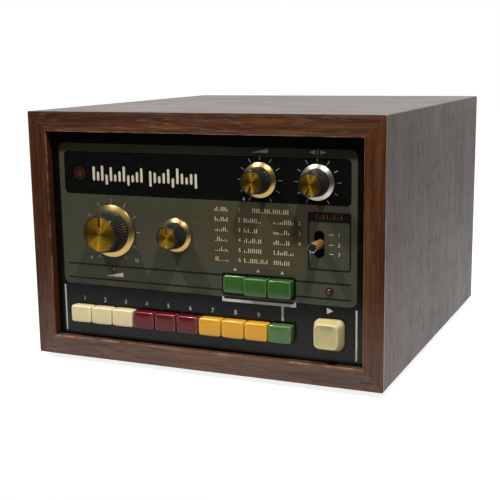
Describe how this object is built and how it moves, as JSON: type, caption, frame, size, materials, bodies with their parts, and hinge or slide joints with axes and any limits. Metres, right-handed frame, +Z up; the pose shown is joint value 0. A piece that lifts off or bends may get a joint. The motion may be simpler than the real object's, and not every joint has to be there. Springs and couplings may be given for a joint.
{
  "type": "drum machine",
  "caption": "Drum machine in a mitred walnut-veneered cabinet, with a recessed panel of coloured push buttons, fluted knobs, a lever switch and a start button.",
  "frame": {"origin": "on the floor, in the middle of the whole object's footprint", "axes": "+X to the right seen from the front, the front faces -Y, +Z up"},
  "size_m": [0.268, 0.2974, 0.1845],
  "materials": {
    "wood_top": "semi-gloss walnut veneer",
    "wood_side": "semi-gloss walnut veneer, grain upright",
    "wood_bottom": "satin walnut veneer",
    "wood_rails": "satin walnut edging, grain along the rail",
    "wood_stiles": "satin walnut edging, grain along the stile",
    "raw_wood": "raw softwood",
    "panel_paint": "satin grey-green paint with black printed fields",
    "rear_paint": "satin black paint",
    "zinc_steel": "zinc plated",
    "bright_steel": "nickel plated",
    "foot_rubber": "matt black",
    "gland_rubber": "matt black",
    "phenolic": "brown moulded switch housing",
    "lamp_red": "clear red lens",
    "board_green": "glass-fibre circuit board",
    "board_parts": "moulded components",
    "transformer": "varnished laminations and winding",
    "jack_nickel": "nickel plated",
    "black_plastic": "black moulding",
    "cap_cream": "polished cream",
    "cap_maroon": "polished dark red",
    "cap_amber": "polished amber",
    "cap_green": "polished green",
    "cap_green_upper": "polished green",
    "start_cream": "polished cream",
    "knob_black": "fluted black",
    "knob_gold": "gold anodised, spun",
    "knob_silver": "bright, spun",
    "lever_tan": "tan sleeve on a bright stem"
  },
  "bodies": {
    "housing": {"cabinet_top": "wood_top", "cabinet_bottom": "wood_bottom", "cabinet_left_side": "wood_side", "cabinet_right_side": "wood_side", "edging_rails": "wood_rails", "edging_stiles": "wood_stiles", "front_panel": "panel_paint", "panel_brackets": "zinc_steel", "chassis_tray": "zinc_steel", "rear_panel": "rear_paint", "rear_blocks": "raw_wood", "rubber_feet": "foot_rubber", "foot_screws": "bright_steel", "rear_screws": "bright_steel", "rhythm_switch_frame": "zinc_steel", "rhythm_switch_bodies": "phenolic", "variation_switch_frame": "zinc_steel", "variation_switch_bodies": "phenolic", "start_switch_body": "phenolic", "tempo_potentiometer": "zinc_steel", "selector_switch_body": "zinc_steel", "volume_potentiometer": "zinc_steel", "balance_potentiometer": "zinc_steel", "control_nuts": "bright_steel", "lever_switch_body": "phenolic", "tempo_lamp": "lamp_red", "main_board": "board_green", "board_components": "board_parts", "board_standoffs": "zinc_steel", "mains_transformer": "transformer", "output_jack": "jack_nickel", "footswitch_jack": "jack_nickel", "cord_gland": "gland_rubber", "fuse_holder": "black_plastic"},
    "rhythm_key_1": {"rhythm_button_1": "cap_cream"},
    "rhythm_key_2": {"rhythm_button_2": "cap_cream"},
    "rhythm_key_3": {"rhythm_button_3": "cap_cream"},
    "rhythm_key_4": {"rhythm_button_4": "cap_maroon"},
    "rhythm_key_5": {"rhythm_button_5": "cap_maroon"},
    "rhythm_key_6": {"rhythm_button_6": "cap_maroon"},
    "rhythm_key_7": {"rhythm_button_7": "cap_amber"},
    "rhythm_key_8": {"rhythm_button_8": "cap_amber"},
    "rhythm_key_9": {"rhythm_button_9": "cap_amber"},
    "rhythm_key_10": {"rhythm_button_10": "cap_green"},
    "variation_key_1": {"variation_button_1": "cap_green_upper"},
    "variation_key_2": {"variation_button_2": "cap_green_upper"},
    "variation_key_3": {"variation_button_3": "cap_green_upper"},
    "start_key": {"start_button": "start_cream"},
    "tempo_control": {"tempo_knob": "knob_black", "tempo_knob_trim": "knob_gold", "tempo_shaft": "bright_steel"},
    "selector_control": {"selector_knob": "knob_black", "selector_knob_trim": "knob_gold", "selector_shaft": "bright_steel"},
    "volume_control": {"volume_knob": "knob_black", "volume_knob_trim": "knob_gold"},
    "balance_control": {"balance_knob": "knob_black", "balance_knob_trim": "knob_silver"},
    "lever": {"pattern_lever": "lever_tan"}
  },
  "joints": [
    {"name": "tempo_turn", "type": "hinge", "parent": "housing", "child": "tempo_control", "pos_m": [-0.071, -0.13135, 0.099], "axis": [0, 1, 0], "range_deg": [-150, 150]},
    {"name": "selector_turn", "type": "hinge", "parent": "housing", "child": "selector_control", "pos_m": [-0.0188, -0.13135, 0.099], "axis": [0, 1, 0], "range_deg": [0, 150]},
    {"name": "volume_turn", "type": "hinge", "parent": "housing", "child": "volume_control", "pos_m": [0.0453, -0.13135, 0.1401], "axis": [0, 1, 0], "range_deg": [0, 300]},
    {"name": "balance_turn", "type": "hinge", "parent": "housing", "child": "balance_control", "pos_m": [0.0861, -0.13135, 0.1401], "axis": [0, 1, 0], "range_deg": [0, 300]},
    {"name": "pattern_lever_tilt", "type": "hinge", "parent": "housing", "child": "lever", "pos_m": [0.0873, -0.11935, 0.099], "axis": [1, 0, 0], "range_deg": [-20, 20]},
    {"name": "rhythm_press_1", "type": "slide", "parent": "housing", "child": "rhythm_key_1", "axis": [0, 1, 0], "range_m": [0, 0.005], "stiffness_N_per_m": 250, "springref_m": -0.004},
    {"name": "rhythm_press_2", "type": "slide", "parent": "housing", "child": "rhythm_key_2", "axis": [0, 1, 0], "range_m": [0, 0.005], "stiffness_N_per_m": 250, "springref_m": -0.004},
    {"name": "rhythm_press_3", "type": "slide", "parent": "housing", "child": "rhythm_key_3", "axis": [0, 1, 0], "range_m": [0, 0.005], "stiffness_N_per_m": 250, "springref_m": -0.004},
    {"name": "rhythm_press_4", "type": "slide", "parent": "housing", "child": "rhythm_key_4", "axis": [0, 1, 0], "range_m": [0, 0.005], "stiffness_N_per_m": 250, "springref_m": -0.004},
    {"name": "rhythm_press_5", "type": "slide", "parent": "housing", "child": "rhythm_key_5", "axis": [0, 1, 0], "range_m": [0, 0.005], "stiffness_N_per_m": 250, "springref_m": -0.004},
    {"name": "rhythm_press_6", "type": "slide", "parent": "housing", "child": "rhythm_key_6", "axis": [0, 1, 0], "range_m": [0, 0.005], "stiffness_N_per_m": 250, "springref_m": -0.004},
    {"name": "rhythm_press_7", "type": "slide", "parent": "housing", "child": "rhythm_key_7", "axis": [0, 1, 0], "range_m": [0, 0.005], "stiffness_N_per_m": 250, "springref_m": -0.004},
    {"name": "rhythm_press_8", "type": "slide", "parent": "housing", "child": "rhythm_key_8", "axis": [0, 1, 0], "range_m": [0, 0.005], "stiffness_N_per_m": 250, "springref_m": -0.004},
    {"name": "rhythm_press_9", "type": "slide", "parent": "housing", "child": "rhythm_key_9", "axis": [0, 1, 0], "range_m": [0, 0.005], "stiffness_N_per_m": 250, "springref_m": -0.004},
    {"name": "rhythm_press_10", "type": "slide", "parent": "housing", "child": "rhythm_key_10", "axis": [0, 1, 0], "range_m": [0, 0.005], "stiffness_N_per_m": 250, "springref_m": -0.004},
    {"name": "variation_press_1", "type": "slide", "parent": "housing", "child": "variation_key_1", "axis": [0, 1, 0], "range_m": [-0.0045, 0.0005]},
    {"name": "variation_press_2", "type": "slide", "parent": "housing", "child": "variation_key_2", "axis": [0, 1, 0], "range_m": [0, 0.005], "stiffness_N_per_m": 250, "springref_m": -0.004},
    {"name": "variation_press_3", "type": "slide", "parent": "housing", "child": "variation_key_3", "axis": [0, 1, 0], "range_m": [0, 0.005], "stiffness_N_per_m": 250, "springref_m": -0.004},
    {"name": "start_press", "type": "slide", "parent": "housing", "child": "start_key", "axis": [0, 1, 0], "range_m": [0, 0.0035], "stiffness_N_per_m": 250, "springref_m": -0.004}
  ]
}
